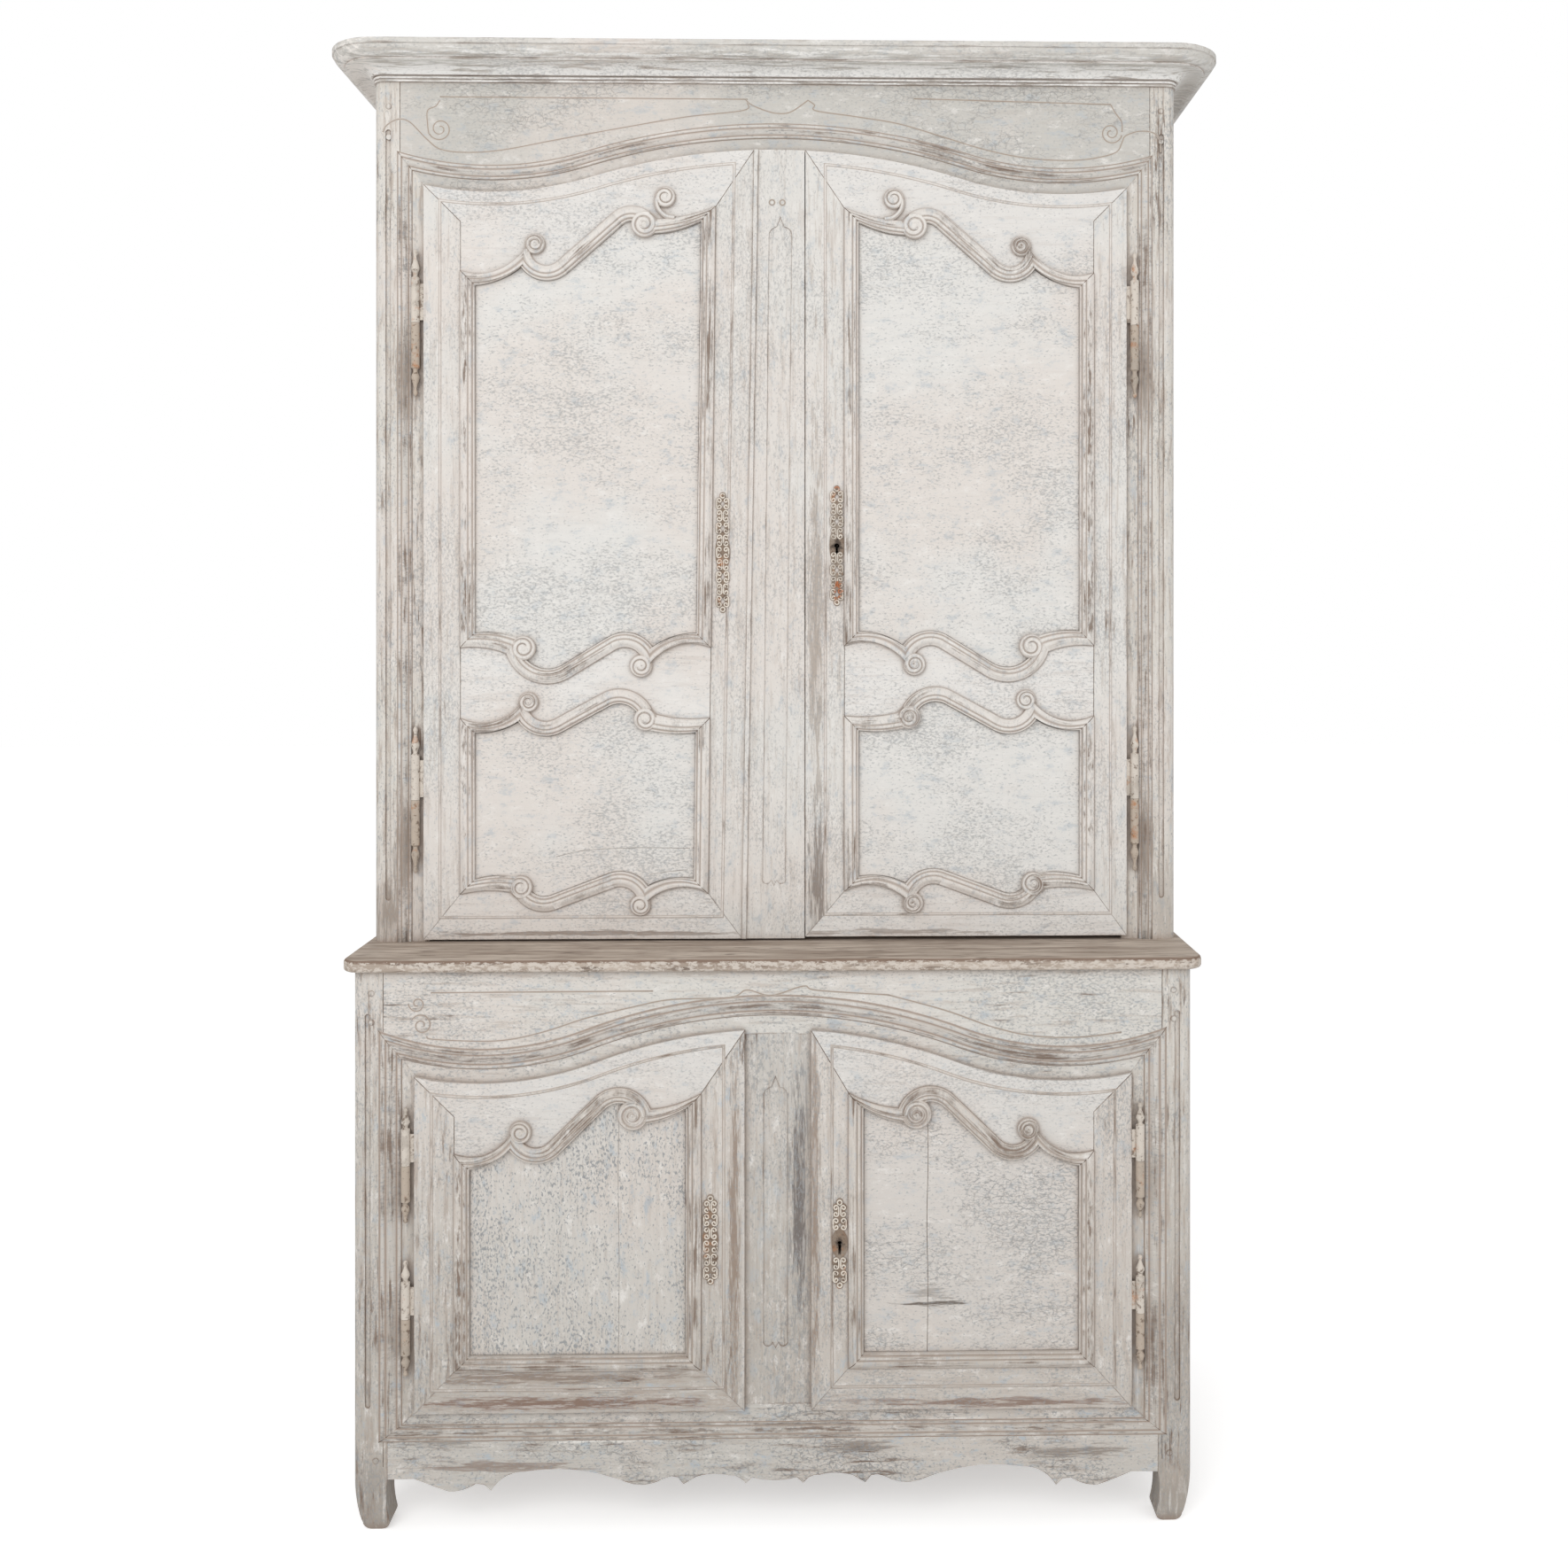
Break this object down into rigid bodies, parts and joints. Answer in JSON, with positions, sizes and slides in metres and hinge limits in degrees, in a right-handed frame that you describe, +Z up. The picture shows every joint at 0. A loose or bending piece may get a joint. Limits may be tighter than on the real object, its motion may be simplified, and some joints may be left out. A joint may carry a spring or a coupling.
{
  "type": "armoire",
  "caption": "Tall painted two-body cupboard: an arched-door cabinet standing on the ledge of a wider buffet, with pin hinges, locks, shelves and a moulded cornice.",
  "frame": {"origin": "on the floor, under the middle of the overall box", "axes": "+X to the right seen from the front, +Y to the back, +Z up; the doors face -Y"},
  "size_m": [1.522, 0.595, 2.452],
  "materials": {
    "painted_oak": "worn off-white limewash paint over pale blue-grey, rubbed to the wood at edges",
    "bare_oak": "bare greyed oak, traces of paint",
    "inner_boards": "unpainted aged oak boards",
    "pegs": "riven oak pegs under thin paint",
    "iron": "forged iron, rusty, with old paint"
  },
  "bodies": {
    "case": {"apron_rail": "painted_oak", "centre_stile": "painted_oak", "cleats": "inner_boards", "cornice": "painted_oak", "frieze_rail": "painted_oak", "hinge_pins": "iron", "ledge": "bare_oak", "lower_back_boards": "inner_boards", "lower_floor": "inner_boards", "lower_post_left": "painted_oak", "lower_post_right": "painted_oak", "lower_rear_posts": "painted_oak", "lower_shelf": "inner_boards", "lower_side_panels": "painted_oak", "lower_side_rails": "painted_oak", "lower_top_rail": "painted_oak", "pegs": "pegs", "top_board": "inner_boards", "upper_back_boards": "inner_boards", "upper_floor": "inner_boards", "upper_post_left": "painted_oak", "upper_post_right": "painted_oak", "upper_rear_posts": "painted_oak", "upper_shelves": "inner_boards", "upper_side_panels": "painted_oak", "upper_side_rails": "painted_oak"},
    "upper_left_door": {"upper_left_bolt_guides": "iron", "upper_left_escutcheon": "iron", "upper_left_knuckles": "iron", "upper_left_lower_rails": "painted_oak", "upper_left_panels": "painted_oak", "upper_left_stiles": "painted_oak", "upper_left_top_rail": "painted_oak", "meeting_strip": "painted_oak"},
    "upper_right_door": {"upper_right_escutcheon": "iron", "upper_right_knuckles": "iron", "upper_right_lower_rails": "painted_oak", "upper_right_panels": "painted_oak", "upper_right_stiles": "painted_oak", "upper_right_top_rail": "painted_oak", "upper_lock_case": "iron"},
    "lower_left_door": {"lower_left_bolt_guides": "iron", "lower_left_bottom_rail": "painted_oak", "lower_left_escutcheon": "iron", "lower_left_knuckles": "iron", "lower_left_panel": "painted_oak", "lower_left_stiles": "painted_oak", "lower_left_top_rail": "painted_oak"},
    "lower_right_door": {"lower_right_bottom_rail": "painted_oak", "lower_right_escutcheon": "iron", "lower_right_knuckles": "iron", "lower_right_panel": "painted_oak", "lower_right_stiles": "painted_oak", "lower_right_top_rail": "painted_oak", "lower_lock_case": "iron"},
    "upper_left_bolt": {"upper_left_bolt": "iron"},
    "lower_left_bolt": {"lower_left_bolt": "iron"},
    "upper_lock_bolt": {"upper_lock_bolt": "iron"},
    "lower_lock_bolt": {"lower_lock_bolt": "iron"}
  },
  "joints": [
    {"name": "upper_left_door_hinge", "type": "hinge", "parent": "case", "child": "upper_left_door", "pos_m": [-0.618, -0.1525, 0], "axis": [0, 0, -1], "range_deg": [0, 150]},
    {"name": "upper_right_door_hinge", "type": "hinge", "parent": "case", "child": "upper_right_door", "pos_m": [0.618, -0.1525, 0], "axis": [0, 0, 1], "range_deg": [0, 150]},
    {"name": "lower_left_door_hinge", "type": "hinge", "parent": "case", "child": "lower_left_door", "pos_m": [-0.6, -0.2825, 0], "axis": [0, 0, -1], "range_deg": [0, 150]},
    {"name": "lower_right_door_hinge", "type": "hinge", "parent": "case", "child": "lower_right_door", "pos_m": [0.6, -0.2825, 0], "axis": [0, 0, 1], "range_deg": [0, 150]},
    {"name": "upper_left_bolt_slide", "type": "slide", "parent": "upper_left_door", "child": "upper_left_bolt", "axis": [0, 0, 1], "range_m": [0, 0.038]},
    {"name": "lower_left_bolt_slide", "type": "slide", "parent": "lower_left_door", "child": "lower_left_bolt", "axis": [0, 0, 1], "range_m": [0, 0.038]},
    {"name": "upper_lock_bolt_slide", "type": "slide", "parent": "upper_right_door", "child": "upper_lock_bolt", "axis": [-1, 0, 0], "range_m": [0, 0.014]},
    {"name": "lower_lock_bolt_slide", "type": "slide", "parent": "lower_right_door", "child": "lower_lock_bolt", "axis": [-1, 0, 0], "range_m": [0, 0.014]}
  ]
}
